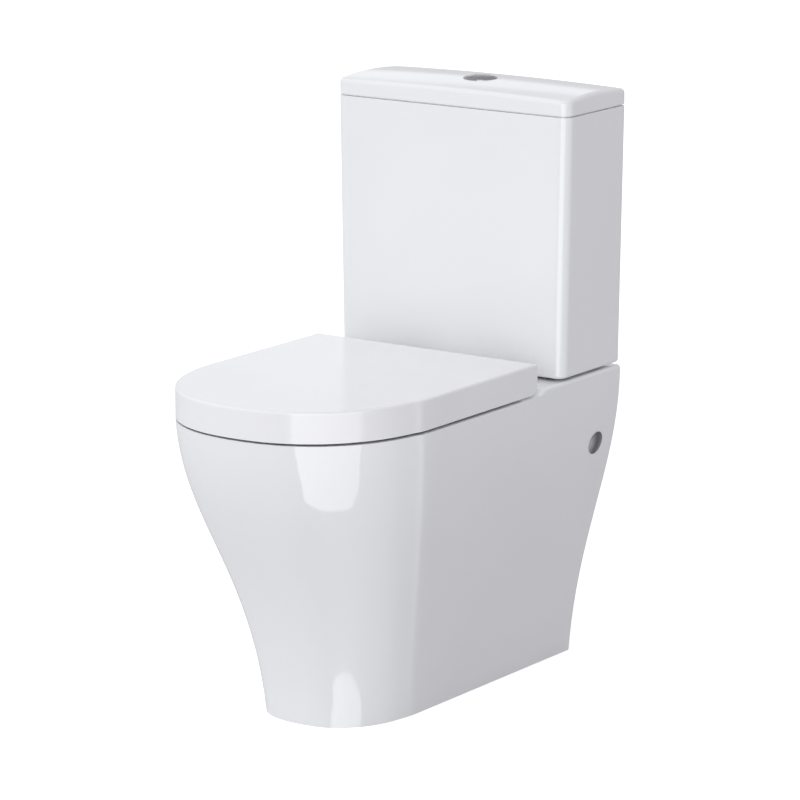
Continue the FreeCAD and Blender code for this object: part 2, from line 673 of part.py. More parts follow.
def seat_ring():
    inset = SEAT_LID_WALL + RING_CLEARANCE
    body = seat_plate(inset, RING_REAR, RING_BOTTOM, RING_TOP - RING_BOTTOM)
    body = body.makeFillet(SEAT_EDGE_RADIUS, edges_at_height(body, RING_TOP))
    body = one_solid(body.cut(ring_hole(0, RING_BOTTOM - 1, LARGE)))
    inside = seat_plate(inset + RING_WALL, RING_REAR + RING_WALL, RING_BOTTOM - 1,
                        RING_TOP - RING_WALL - RING_BOTTOM + 1)
    inside = inside.cut(ring_hole(RING_WALL, RING_BOTTOM - 2, LARGE))
    body = body.cut(inside)
    for side in (1, -1):
        body = body.fuse(ring_lug(side))
    return one_solid(body.cut(hinge_bore()))


def ring_buffer_places():
    """Four rubber buffers under the ring, on the middle of its width."""
    side_x = (SEAT_HALF_WIDTH + RING_HOLE_HALF_WIDTH) / 2
    front_y = (PROJECTION + RING_HOLE_CENTRE + RING_HOLE_HALF_LENGTH) / 2
    places = []
    for side in (1, -1):
        places.append((side * side_x, RING_HOLE_CENTRE - RING_HOLE_HALF_LENGTH / 2))
        places.append((side * side_x / 3, front_y - BUFFER_RADIUS))
    return places


def seat_ring_buffers():
    top = RING_TOP - RING_WALL
    return Part.makeCompound([upright(BUFFER_RADIUS, x, d, RIM_HEIGHT + SEAT_GAP, top)
                              for x, d in ring_buffer_places()])


def seat_lid_buffers():
    low, high = RING_TOP + SEAT_GAP, SEAT_TOP - SEAT_LID_WALL
    return Part.makeCompound([upright(BUFFER_RADIUS * 0.75, x, d, low, high) for x, d in ring_buffer_places()])


def hinge_post(side):
    x = side * FIXING_SPACING / 2
    low = RIM_HEIGHT + BASE_COVER_HEIGHT
    barrel = hinge_rod(LUG_RADIUS, x - POST_HALF_WIDTH, x + POST_HALF_WIDTH)
    column = upright(POST_HALF_WIDTH, x, HINGE_Y, low, HINGE_Z)
    body = barrel.fuse(column).cut(hinge_rod(PIN_RADIUS + RUNNING, x - 50, x + 50))
    return one_solid(body.cut(upright(SEAT_BOLT_RADIUS + RUNNING, x, HINGE_Y, low - 1, low + 12)))


def hinge_pin(side):
    x0, x1 = lug_span(-POST_HALF_WIDTH - LUG_WIDTH - 2, POST_HALF_WIDTH + LUG_WIDTH + 2, side)
    return hinge_rod(PIN_RADIUS, x0, x1)


def hinge_base_cover(side):
    x = side * FIXING_SPACING / 2
    top = RIM_HEIGHT + BASE_COVER_HEIGHT
    cover = upright(BASE_COVER_RADIUS, x, HINGE_Y, RIM_HEIGHT, top)
    cover = cover.makeFillet(1.0, edges_at_height(cover, top))
    return cover.cut(upright(SEAT_BOLT_RADIUS + RUNNING, x, HINGE_Y, 0, LARGE))


def seat_fixing_bolt(side):
    x = side * FIXING_SPACING / 2
    return upright(SEAT_BOLT_RADIUS, x, HINGE_Y, RIM_HEIGHT - 42, RIM_HEIGHT + BASE_COVER_HEIGHT + 12)


def seat_fixing_bush(side):
    x = side * FIXING_SPACING / 2
    low = RIM_HEIGHT - PAN_TOP_WALL
    body = upright(SEAT_HOLE_RADIUS, x, HINGE_Y, low, RIM_HEIGHT)
    body = body.fuse(upright(SEAT_HOLE_RADIUS + 5, x, HINGE_Y, low - 3, low))
    return one_solid(body.cut(upright(SEAT_BOLT_RADIUS + RUNNING, x, HINGE_Y, 0, LARGE)))


def wing_nut(x, from_wall, top, bolt_radius):
    """Wing nut screwed up against a face at the given height."""
    height = bolt_radius * 2.2
    hub = Part.makeCone(bolt_radius * 1.6, bolt_radius * 2.2, height, at(x, from_wall, top - height))
    wing = block(x - bolt_radius * WING_REACH, x + bolt_radius * WING_REACH, from_wall - 1.5, from_wall + 1.5,
                 top - height * 1.4, top - height * 0.35)
    return one_solid(hub.fuse(wing).cut(upright(bolt_radius + RUNNING, x, from_wall, 0, LARGE)))


def seat_fixing_nut(side):
    return wing_nut(side * FIXING_SPACING / 2, HINGE_Y, RIM_HEIGHT - PAN_TOP_WALL - 3, SEAT_BOLT_RADIUS)


# ---------------------------------------------------------------- buttons
def lid_centre_height():
    """Top of the cistern lid at the axis of the buttons."""
    share = (BUTTON_CENTRE + 5) / (TANK_DEPTH + 10)
    arch = LID_ARCH * (1 - (2 * share - 1) ** 2)
    return TANK_TOP + LID_FRONT_HEIGHT + SEAM_GAP + arch + LID_CROWN


def button_underside():
    return lid_centre_height() - BUTTON_DEPTH


def button_dome():
    """Ball whose cap the bezel and the two buttons share."""
    ball = (COLLAR_RADIUS ** 2 + DOME_RISE ** 2) / (2 * DOME_RISE)
    top = lid_centre_height() + COLLAR_EDGE + DOME_RISE
    return Part.makeSphere(ball, at(0, BUTTON_CENTRE, top - ball))


def housing_floor():
    return lid_centre_height() - HOUSING_DEPTH


def button_half(side, radius, inset, z0, z1):
    """Half disc on one side of the split between the two buttons."""
    disc = upright(radius, 0, BUTTON_CENTRE, z0, z1)
    edge = BUTTON_SPLIT + side * (BUTTON_GAP / 2 + inset)
    if side > 0:
        return disc.common(block(edge, LARGE, -LARGE, LARGE, z0, z1))
    return disc.common(block(-LARGE, edge, -LARGE, LARGE, z0, z1))


def flush_button(side):
    top = lid_centre_height() + DOME_RISE + 2 * COLLAR_EDGE
    return one_solid(button_half(side, BUTTON_RADIUS, 0, button_underside(), top).common(button_dome()))


def flush_rod(side):
    x = side * ROD_OFFSET
    return upright(ROD_RADIUS, x, BUTTON_CENTRE, LEVER_Z + LEVER_THICKNESS / 2 + ROD_GAP,
                   button_underside())


def button_collar():
    """Bezel on the lid round the two buttons."""
    top = lid_centre_height() + DOME_RISE + 2 * COLLAR_EDGE
    low = lid_centre_height() - COLLAR_SINK
    body = ring(COLLAR_RADIUS, COLLAR_BORE, 0, BUTTON_CENTRE, low, top).common(button_dome())
    return one_solid(body.cut(cistern_lid()))


def button_housing():
    """Threaded cup through the lid that holds the buttons and their springs."""
    top = lid_centre_height() - COLLAR_SINK
    floor = housing_floor()
    body = ring(HOUSING_RADIUS, HOUSING_BORE, 0, BUTTON_CENTRE, floor, top)
    body = body.fuse(upright(HOUSING_RADIUS, 0, BUTTON_CENTRE, floor, floor + HOUSING_FLOOR))
    for side in (1, -1):
        body = body.cut(upright(ROD_RADIUS + ROD_HOLE_CLEARANCE, side * ROD_OFFSET, BUTTON_CENTRE, 0, LARGE))
    return one_solid(body)


def button_clamp_nut():
    """Nut under the cistern lid that pulls the collar down."""
    underside = TANK_TOP + SEAT_GAP + LID_FRONT_HEIGHT + SEAM_GAP - LID_TOP_WALL
    return ring(HOUSING_RADIUS + 8, HOUSING_RADIUS, 0, BUTTON_CENTRE, underside - 8, underside)


def return_spring(side):
    """Coil round a push rod, between the housing floor and the button."""
    wire = 0.6
    radius = ROD_RADIUS + 2.2
    low = housing_floor() + HOUSING_FLOOR + wire
    high = button_underside() - wire
    turns = 6
    centre = at(side * ROD_OFFSET, BUTTON_CENTRE, low)
    path = Part.Wire(Part.makeHelix((high - low) / turns, high - low, radius).Edges)
    path.translate(centre)
    start = centre + V(radius, 0, 0)
    section = Part.Wire([Part.Circle(start, BACK, wire).toShape()])
    return one_solid(path.makePipeShell([section], True, True))


# ---------------------------------------------------------------- side fixings
def fixing_cap(side):
    """Domed cap plugged into the side of the pan."""
    point, normal = side_fixing_frame(side)
    radius = CAP_RADIUS
    ball = (radius ** 2 + CAP_PROUD ** 2) / (2 * CAP_PROUD)
    dome = Part.makeSphere(ball, point + normal * (CAP_PROUD - ball))
    dome = dome.common(rod(radius, point + normal * CAP_GAP, point + normal * 20))
    stem_depth = PAN_WALL - CLAMP_SHOULDER - 3.5
    stem = rod(FIXING_HOLE_RADIUS - 0.3, point - normal * stem_depth, point + normal * 1.0)
    return one_solid(dome.fuse(stem))


def clamp_screw(side):
    """Screw that pulls the pan sideways on to its bracket."""
    point, normal = side_fixing_frame(side)
    seat = point - normal * (PAN_WALL - CLAMP_SHOULDER)
    head = rod(CLAMP_HEAD_RADIUS, seat, seat + normal * 3.0)
    return one_solid(head.fuse(rod(CLAMP_RADIUS, seat - normal * 22, seat + normal)))


def wall_bracket(side):
    """Angle bracket screwed to the wall inside the skirt."""
    point, normal = side_fixing_frame(side)
    seat = point - normal * (PAN_WALL + BRACKET_GAP)
    half = 22.0
    lug_end = FIXING_Y + half
    x = abs(seat.x)
    lug = block(x - BRACKET_THICKNESS, x, 0, lug_end, FIXING_Z - half, FIXING_Z + half)
    lug = lug.translated(V(0, 0, seat.z - FIXING_Z))
    tilt = math.degrees(math.atan2(-normal.z, abs(normal.x)))
    lug.rotate(V(x, 0, seat.z), BACK, tilt)
    flange = block(BRACKET_SCREW_X - 16, x - 2, 0, BRACKET_THICKNESS, FIXING_Z - half, FIXING_Z + half)
    hole = rod(BRACKET_HOLE_RADIUS, at(BRACKET_SCREW_X, -1, FIXING_Z), at(BRACKET_SCREW_X, 50, FIXING_Z))
    body = lug.fuse(flange).cut(hole)
    outward = V(abs(normal.x), 0, normal.z)
    start = V(x, seat.y, seat.z)
    body = body.cut(rod(CLAMP_RADIUS + RUNNING, start - outward * 20, start + outward * 20))
    body = one_solid(body)
    if side < 0:
        body = body.mirror(V(0, 0, 0), RIGHT)
    return body


# ---------------------------------------------------------------- flush valve
def tank_floor_top():
    return TANK_BOTTOM + TANK_FLOOR


def flush_valve_base():
    """Flanged outlet through the floor of the cistern, with the valve seat."""
    floor = tank_floor_top()
    body = upright(TAIL_RADIUS, 0, BUTTON_CENTRE, TAIL_END, floor)
    body = body.fuse(upright(FLANGE_RADIUS, 0, BUTTON_CENTRE, floor, floor + FLANGE_THICKNESS))
    return one_solid(body.cut(upright(TAIL_BORE, 0, BUTTON_CENTRE, 0, LARGE)))


def flush_valve_back_nut():
    return ring(BACK_NUT_RADIUS, TAIL_RADIUS, 0, BUTTON_CENTRE, BACK_NUT_BOTTOM, TANK_BOTTOM)


def flush_valve_tower():
    """Slotted cage on the base, with the guide and the lever bracket on top."""
    low = tank_floor_top() + FLANGE_THICKNESS
    outer = FLANGE_RADIUS - 2
    body = ring(outer, outer - CAGE_WALL, 0, BUTTON_CENTRE, low, CAGE_TOP)
    window = outer * 0.55
    for z in (low + 6, low + 44):
        body = body.cut(block(-window, window, -LARGE, LARGE, z, z + 28))
        body = body.cut(block(-LARGE, LARGE, BUTTON_CENTRE - window, BUTTON_CENTRE + window, z, z + 28))
    guide = ring(outer, OVERFLOW_RADIUS + 0.5, 0, BUTTON_CENTRE, CAGE_TOP - 4, CAGE_TOP)
    reach = BUTTON_CENTRE + LEVER_ARM
    mast_x = LEVER_WIDTH * 2 + 3
    body = body.fuse(guide)
    for side in (1, -1):
        mast = block(side * mast_x - 2.5, side * mast_x + 2.5, BUTTON_CENTRE + 14, reach + 7, CAGE_TOP - 4,
                     LEVER_Z + 8)
        body = body.fuse(mast)
    return one_solid(body.cut(lever_rod(PIN_RADIUS, -LARGE, LARGE)))


def lever_rod(radius, x0, x1):
    reach = BUTTON_CENTRE + LEVER_ARM
    return rod(radius, at(x0, reach, LEVER_Z), at(x1, reach, LEVER_Z))


def lever_pin():
    end = LEVER_WIDTH * 2 + 7
    return lever_rod(PIN_RADIUS, -end, end)


def flush_lever(side, tail):
    """Rocker under a push rod, turning on the lever pin."""
    x = side * ROD_OFFSET
    half = LEVER_WIDTH / 2
    reach = BUTTON_CENTRE + LEVER_ARM
    thick = LEVER_THICKNESS / 2
    x0, x1 = x - half, x + half
    hub = lever_rod(PIN_RADIUS + 3, x0, x1)
    arm = block(x0, x1, BUTTON_CENTRE - 4, reach + tail, LEVER_Z - thick, LEVER_Z + thick)
    return one_solid(hub.fuse(arm).cut(lever_rod(PIN_RADIUS + RUNNING, x0 - 1, x1 + 1)))


def overflow_tube():
    """Overflow pipe that carries the seal, with the hook that lifts it."""
    low = tank_floor_top() + FLANGE_THICKNESS + SEAT_GAP + SEAL_THICKNESS
    body = upright(OVERFLOW_RADIUS, 0, BUTTON_CENTRE, low, OVERFLOW_TOP)
    half = LEVER_WIDTH / 2 - 0.5
    tail = BUTTON_CENTRE + 2 * LEVER_ARM
    hook_z = LEVER_Z + LEVER_THICKNESS / 2 + SEAT_GAP
    foot = OVERFLOW_TOP - 12
    x0, x1 = ROD_OFFSET - half, ROD_OFFSET + half
    arm = block(x0, x1, BUTTON_CENTRE, tail + 10, foot, foot + 6)
    riser = block(x0, x1, tail + 4, tail + 10, foot, hook_z + 5)
    top = block(x0, x1, tail - 6, tail + 10, hook_z, hook_z + 5)
    body = body.fuse([arm, riser, top])
    return one_solid(body.cut(upright(OVERFLOW_BORE, 0, BUTTON_CENTRE, 0, LARGE)))


def flush_valve_seal():
    low = tank_floor_top() + FLANGE_THICKNESS + SEAT_GAP
    return ring(TAIL_BORE + 3, OVERFLOW_BORE, 0, BUTTON_CENTRE, low, low + SEAL_THICKNESS)


# ---------------------------------------------------------------- coupling
def coupling_seal():
    """Soft doughnut between the cistern and the pan."""
    body = ring(INLET_RECESS_RADIUS - 1, BACK_NUT_RADIUS + 0.5, 0, BUTTON_CENTRE, INLET_RECESS_FLOOR,
                TANK_BOTTOM)
    return body.makeFillet(1.5, edges_at_height(body, INLET_RECESS_FLOOR))


def coupling_plate():
    """Steel plate under the cistern that spreads the pull of the two bolts."""
    half = COUPLING_SPACING / 2 + 16
    low = TANK_BOTTOM - PLATE_THICKNESS
    body = block(-half, half, BUTTON_CENTRE - 22, BUTTON_CENTRE + 22, low, TANK_BOTTOM)
    body = body.cut(upright(INLET_RECESS_RADIUS - 0.5, 0, BUTTON_CENTRE, 0, LARGE))
    for side in (1, -1):
        body = body.cut(upright(COUPLING_BOLT_RADIUS + 0.5, side * COUPLING_SPACING / 2, BUTTON_CENTRE, 0, LARGE))
    return body


def coupling_bolt(side):
    x = side * COUPLING_SPACING / 2
    floor = tank_floor_top() + 2.0
    shank = upright(COUPLING_BOLT_RADIUS, x, BUTTON_CENTRE, RIM_HEIGHT - PAN_TOP_WALL - 16, floor)
    return one_solid(shank.fuse(upright(COUPLING_BOLT_RADIUS * 2.2, x, BUTTON_CENTRE, floor, floor + 5)))


def coupling_bolt_washer(side):
    floor = tank_floor_top()
    return ring(COUPLING_BOLT_RADIUS * 2.6, COUPLING_BOLT_RADIUS + RUNNING, side * COUPLING_SPACING / 2,
                BUTTON_CENTRE, floor, floor + 2.0)


def coupling_nut_washer(side):
    low = RIM_HEIGHT - PAN_TOP_WALL - 2.0
    return ring(COUPLING_BOLT_RADIUS * 2.6, COUPLING_BOLT_RADIUS + RUNNING, side * COUPLING_SPACING / 2,
                BUTTON_CENTRE, low, low + 2.0)


def coupling_wing_nut(side):
    return wing_nut(side * COUPLING_SPACING / 2, BUTTON_CENTRE, RIM_HEIGHT - PAN_TOP_WALL - 2.0,
                    COUPLING_BOLT_RADIUS)


def tank_support_pads():
    """Rubber pads between the deck and the cistern, near its corners."""
    pads = []
    for side in (1, -1):
        for d in (22.0, TANK_DEPTH - 22.0):
            x = side * (COUPLING_SPACING / 2 + 80)
            pads.append(upright(8.0, x, d, DECK_HEIGHT, TANK_BOTTOM))
    return Part.makeCompound(pads)


# ---------------------------------------------------------------- fill valve
def fill_valve_body():
    """Stem with the threaded tail through the floor and the valve head on top."""
    floor = tank_floor_top()
    thread_end = TANK_BOTTOM - FILL_NUT_HEIGHT - 2
    body = upright(FILL_NECK_RADIUS, FILL_X, BUTTON_CENTRE, FILL_TAIL_END, floor)
    body = body.fuse(upright(FILL_TAIL_RADIUS, FILL_X, BUTTON_CENTRE, FILL_TAIL_END, thread_end))
    body = body.fuse(upright(17.0, FILL_X, BUTTON_CENTRE, floor + 2.5, floor + 7))
    body = body.fuse(upright(FILL_STEM_RADIUS, FILL_X, BUTTON_CENTRE, floor, FILL_TOP))
    body = body.fuse(upright(19.0, FILL_X, BUTTON_CENTRE, FILL_TOP - 20, FILL_TOP))
    for side in (1, -1):
        x = FILL_X + side * 7.0
        body = body.fuse(block(x - 2, x + 2, FLOAT_PIVOT_Y - 6, FLOAT_PIVOT_Y + 6, FILL_TOP - 2,
                               FLOAT_LEVER_Z + 5))
    body = body.cut(fill_pivot(1.6, -30, 30))
    body = body.cut(upright(6.5, FILL_X, BUTTON_CENTRE, FILL_TAIL_END - 1, FILL_TOP - 12))
    return one_solid(body)


def fill_pivot(radius, x0, x1):
    return rod(radius, at(FILL_X + x0, FLOAT_PIVOT_Y, FLOAT_LEVER_Z), at(FILL_X + x1, FLOAT_PIVOT_Y, FLOAT_LEVER_Z))


def fill_valve_pin():
    return fill_pivot(1.6, -9.5, 9.5)


def fill_valve_lever():
    """Lever on the head of the fill valve, lifted by the float."""
    hub = fill_pivot(3.5, -4.5, 4.5)
    end = FLOAT_PIVOT_Y + FLOAT_ARM * 2
    arm = block(FILL_X - 3, FILL_X + 3, FLOAT_PIVOT_Y, end + 4, FLOAT_LEVER_Z - 1.5, FLOAT_LEVER_Z + 1.5)
    return one_solid(hub.fuse(arm).cut(fill_pivot(1.6 + RUNNING, -5, 5)))


def fill_valve_float():
    """Cup float that slides on the stem."""
    body = ring(FLOAT_RADIUS, FILL_STEM_RADIUS + FLOAT_CLEARANCE, FILL_X, BUTTON_CENTRE, FLOAT_BOTTOM, FLOAT_TOP)
    return body.makeFillet(2.0, edges_at_height(body, FLOAT_BOTTOM))


def float_link_rod():
    """Rod from the float up to the end of the fill valve lever."""
    d = FLOAT_PIVOT_Y + FLOAT_ARM * 2
    ear = block(FILL_X - 4, FILL_X + 4, BUTTON_CENTRE + FLOAT_RADIUS - 4, d + 4, FLOAT_TOP, FLOAT_TOP + 4)
    link = upright(1.6, FILL_X, d, FLOAT_TOP + 2, FLOAT_LEVER_Z - 1.5 - FLOAT_LINK_GAP)
    return one_solid(ear.fuse(link))


def fill_valve_washer():
    floor = tank_floor_top()
    return ring(17.0, FILL_STEM_RADIUS, FILL_X, BUTTON_CENTRE, floor, floor + 2.5)


def fill_valve_back_nut():
    return ring(16.0, FILL_NECK_RADIUS, FILL_X, BUTTON_CENTRE, TANK_BOTTOM - FILL_NUT_HEIGHT, TANK_BOTTOM)


NODES = {
    "pan": pan,
    "pan_bowl": pan_bowl,
    "pan_trapway": pan_trapway,
    "pan_flush_channel": pan_flush_channel,
    "cistern_tank": cistern_tank,
    "cistern_lid": cistern_lid,
    "seat_ring": seat_ring,
    "seat_lid": seat_lid,
    "seat_ring_buffers": seat_ring_buffers,
    "seat_lid_buffers": seat_lid_buffers,
    "hinge_post_left": lambda: hinge_post(-1),
    "hinge_post_right": lambda: hinge_post(1),
    "hinge_pin_left": lambda: hinge_pin(-1),
    "hinge_pin_right": lambda: hinge_pin(1),
    "hinge_base_covers": lambda: both_sides(hinge_base_cover),
    "seat_fixing_bolts": lambda: both_sides(seat_fixing_bolt),
    "seat_fixing_bushes": lambda: both_sides(seat_fixing_bush),
    "seat_fixing_nuts": lambda: both_sides(seat_fixing_nut),
    "button_collar": button_collar,
    "full_flush_button": lambda: flush_button(1),
    "half_flush_button": lambda: flush_button(-1),
    "button_housing": button_housing,
    "button_clamp_nut": button_clamp_nut,
    "full_flush_rod": lambda: flush_rod(1),
    "half_flush_rod": lambda: flush_rod(-1),
    "full_flush_spring": lambda: return_spring(1),
    "half_flush_spring": lambda: return_spring(-1),
    "flush_valve_base": flush_valve_base,
    "flush_valve_tower": flush_valve_tower,
    "flush_valve_back_nut": flush_valve_back_nut,
    "overflow_tube": overflow_tube,
    "flush_valve_seal": flush_valve_seal,
    "full_flush_lever": lambda: flush_lever(1, LEVER_ARM),
    "half_flush_lever": lambda: flush_lever(-1, LEVER_ARM / 2),
    "lever_pin": lever_pin,
    "fill_valve_body": fill_valve_body,
    "fill_valve_float": fill_valve_float,
    "float_link_rod": float_link_rod,
    "fill_valve_lever": fill_valve_lever,
    "fill_valve_pin": fill_valve_pin,
    "fill_valve_washer": fill_valve_washer,
    "fill_valve_back_nut": fill_valve_back_nut,
    "coupling_seal": coupling_seal,
    "coupling_plate": coupling_plate,
    "coupling_bolts": lambda: both_sides(coupling_bolt),
    "coupling_bolt_washers": lambda: both_sides(coupling_bolt_washer),
    "coupling_nut_washers": lambda: both_sides(coupling_nut_washer),
    "coupling_wing_nuts": lambda: both_sides(coupling_wing_nut),
    "tank_support_pads": tank_support_pads,
    "fixing_cap_left": lambda: fixing_cap(-1),
    "fixing_cap_right": lambda: fixing_cap(1),
    "clamp_screws": lambda: both_sides(clamp_screw),
    "wall_bracket_left": lambda: wall_bracket(-1),
    "wall_bracket_right": lambda: wall_bracket(1),
}


def main():
    os.makedirs("parts", exist_ok=True)
    for name, make in NODES.items():
        shape = make()
        if not shape.isValid():
            raise ValueError("%s is not a valid shape" % name)
        shape.exportStep("parts/%s.step" % name)


main()
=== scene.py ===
import json
import math

import bmesh
import bpy
from mathutils import Matrix, Vector


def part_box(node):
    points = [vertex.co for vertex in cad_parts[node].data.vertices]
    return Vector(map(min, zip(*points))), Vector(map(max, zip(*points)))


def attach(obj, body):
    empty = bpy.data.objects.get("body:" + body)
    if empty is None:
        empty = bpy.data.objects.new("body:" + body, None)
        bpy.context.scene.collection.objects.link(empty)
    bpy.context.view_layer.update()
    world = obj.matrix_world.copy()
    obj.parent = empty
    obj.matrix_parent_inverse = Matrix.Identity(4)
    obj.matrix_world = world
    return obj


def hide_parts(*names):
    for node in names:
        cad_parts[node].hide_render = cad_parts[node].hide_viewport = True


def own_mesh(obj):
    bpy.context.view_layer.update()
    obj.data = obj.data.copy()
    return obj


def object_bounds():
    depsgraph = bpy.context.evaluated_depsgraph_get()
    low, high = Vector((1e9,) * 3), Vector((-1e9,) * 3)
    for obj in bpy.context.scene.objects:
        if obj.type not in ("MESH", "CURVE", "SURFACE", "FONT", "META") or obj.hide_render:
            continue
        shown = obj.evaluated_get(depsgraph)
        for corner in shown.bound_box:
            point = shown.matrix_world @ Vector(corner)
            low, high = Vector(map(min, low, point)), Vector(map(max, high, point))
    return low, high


# Close coupled toilet: materials, springs of the flush buttons, studio and camera. Lengths are in metres.
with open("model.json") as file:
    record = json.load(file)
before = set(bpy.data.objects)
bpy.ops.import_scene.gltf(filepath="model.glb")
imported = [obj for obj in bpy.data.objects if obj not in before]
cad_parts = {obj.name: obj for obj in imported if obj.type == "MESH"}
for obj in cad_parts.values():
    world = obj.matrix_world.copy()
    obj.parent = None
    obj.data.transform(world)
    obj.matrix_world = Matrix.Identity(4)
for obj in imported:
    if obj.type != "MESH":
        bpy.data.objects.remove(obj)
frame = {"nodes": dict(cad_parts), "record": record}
CAD_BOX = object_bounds()
WALL_Y = CAD_BOX[1][1]

# Camera: place, the direction it looks from, then lens and sensor in millimetres
CAMERA_PLACE = Vector((3.27127, -4.67358, 1.68877))
CAMERA_AZIMUTH = math.radians(34.67)
CAMERA_ELEVATION = math.radians(12.645)
CAMERA_LENS = 195.16
SENSOR = 36.0
CLIP_END = 100.0

# Return springs of the buttons; COIL_WIRE is the radius of the wire
COIL_WIRE = 0.0006
COIL_TURNS = 6
COIL_STEPS = 28                # points in each turn
WIRE_SIDES = 10

# Studio: the background darkens from LIGHT_SIDE to SHADE_SIDE, away from the direction LIGHT_FROM
LIGHT_FROM = (-0.2, -0.2, 0.14)
SHADE_SIDE = (0.268, 0.255, 0.280, 1)
LIGHT_SIDE = (0.970, 0.980, 1.0, 1.0)
SKY_STRENGTH = 1.16
FLOOR_HALF_SIDE = 30.0
FLOOR_GLOW = 0.6
FILL_PLACE = (1.5, -3.0, 1.4)
FILL_TARGET = (0.0, 0.1, 0.5)
FILL_SIDE = 2.0
FILL_WATTS = 15.5
# glows that only gloss shows: azimuth, elevation, inner and outer angle in degrees, then strength
GLOW_COLOUR = (0.90, 0.95, 1.0, 1.0)
REFLECTED_GLOWS = ((-145.3, 12.6, 2.2, 6.5, 0.42), (82.0, -30.0, 0.0, 64.0, 1.1))
# softbox: its distance is counted from PANEL_ORIGIN, inside the front of the pan
PANEL_ORIGIN = Vector((0.0, WALL_Y - 0.625, 0.3))
PANEL_AZIMUTH = 46.0
PANEL_RADIANCE = 4.0
# near and far part: distance, then the outline as sideways place and height, partly under the floor,
# which gloss doesn't show
NEAR_PANEL = (0.60, (
    (-0.266, -0.44), (0.0, -0.41), (0.115, -0.378), (0.25, -0.35), (0.402, -0.31), (0.45, -0.05),
    (0.465, 0.144), (0.52, 0.29), (0.56, 1.1), (-0.31, 1.1), (-0.284, 0.29), (-0.275, 0.09),
    (-0.25, -0.145)))
FAR_PANEL = (1.50, (
    (-0.55, -1.30), (-0.40, -1.34), (-0.10, -1.33), (0.20, -1.30), (0.60, -1.26), (0.90, -1.19),
    (1.02, -1.06), (1.04, -0.60), (-0.48, -0.60), (-0.48, -1.02), (-0.54, -1.14)))


# ---------------------------------------------------------------- materials
def new_material(name):
    """A material with its node tree and its main shader."""
    material = bpy.data.materials.new(name)
    material.use_nodes = True
    tree = material.node_tree
    shader = tree.nodes["Principled BSDF"]
    return material, tree, shader


def noise(tree, scale, detail=3.0):
    """Noise fixed to the object, with the scale in lumps to the metre."""
    coordinates = tree.nodes.new("ShaderNodeTexCoord")
    texture = tree.nodes.new("ShaderNodeTexNoise")
    texture.inputs["Scale"].default_value = scale
    texture.inputs["Detail"].default_value = detail
    tree.links.new(coordinates.outputs["Object"], texture.inputs["Vector"])
    return texture


def ramp(tree, source, low, high, start=0.3, end=0.7):
    """Colours from low to high, as the source goes from start to end."""
    node = tree.nodes.new("ShaderNodeValToRGB")
    node.color_ramp.elements[0].position = start
    node.color_ramp.elements[1].position = end
    node.color_ramp.elements[0].color = low
    node.color_ramp.elements[1].color = high
    tree.links.new(source, node.inputs["Fac"])
    return node


def grey(value):
    return (value, value, value, 1.0)


def bump(tree, shader, texture, distance, strength):
    node = tree.nodes.new("ShaderNodeBump")
    node.inputs["Distance"].default_value = distance
    node.inputs["Strength"].default_value = strength
    tree.links.new(texture.outputs["Fac"], node.inputs["Height"])
    tree.links.new(node.outputs["Normal"], shader.inputs["Normal"])


def varied(tree, shader, socket, texture, low, high):
    """Lets a texture move one socket of the shader between two colours or greys."""
    node = ramp(tree, texture.outputs["Fac"], low, high)
    tree.links.new(node.outputs["Color"], shader.inputs[socket])


def glaze():
    """Fired white glaze, with a faint waviness."""
    material, tree, shader = new_material("white_glaze")
    cloud = noise(tree, scale=5.0, detail=2.0)
    varied(tree, shader, "Base Color", cloud, (0.865, 0.87, 0.885, 1), (0.885, 0.89, 0.90, 1))
    fine = noise(tree, scale=60.0, detail=2.0)
    varied(tree, shader, "Roughness", fine, grey(0.055), grey(0.075))
    shader.inputs["IOR"].default_value = 1.52
    wave = noise(tree, scale=14.0, detail=1.0)
    bump(tree, shader, wave, distance=0.00012, strength=0.35)
    return material


def seat_gloss():
    """Pressed white thermoset, slightly softer than the glaze."""
    material, tree, shader = new_material("seat_plastic")
    cloud = noise(tree, scale=8.0, detail=2.0)
    varied(tree, shader, "Base Color", cloud, (0.865, 0.865, 0.875, 1), (0.885, 0.885, 0.89, 1))
    fine = noise(tree, scale=90.0)
    varied(tree, shader, "Roughness", fine, grey(0.15), grey(0.19))
    shader.inputs["IOR"].default_value = 1.50
    return material


GRAIN_SPREAD = 0.06            # how far the roughness of a moulded grain moves either way


def moulded(name, low, high, rough):
    """Moulded plastic or rubber with a fine grain."""
    material, tree, shader = new_material(name)
    cloud = noise(tree, scale=30.0)
    varied(tree, shader, "Base Color", cloud, low, high)
    grain = noise(tree, scale=1800.0, detail=2.0)
    varied(tree, shader, "Roughness", grain, grey(rough - GRAIN_SPREAD), grey(rough + GRAIN_SPREAD))
    bump(tree, shader, grain, distance=0.00005, strength=0.4)
    return material


def metal(name, low, high, rough_low, rough_high, scale):
    """Bare or plated metal, slightly clouded."""
    material, tree, shader = new_material(name)
    cloud = noise(tree, scale, detail=4.0)
    varied(tree, shader, "Base Color", cloud, low, high)
    varied(tree, shader, "Roughness", cloud, grey(rough_low), grey(rough_high))
    shader.inputs["Metallic"].default_value = 1.0
    return material


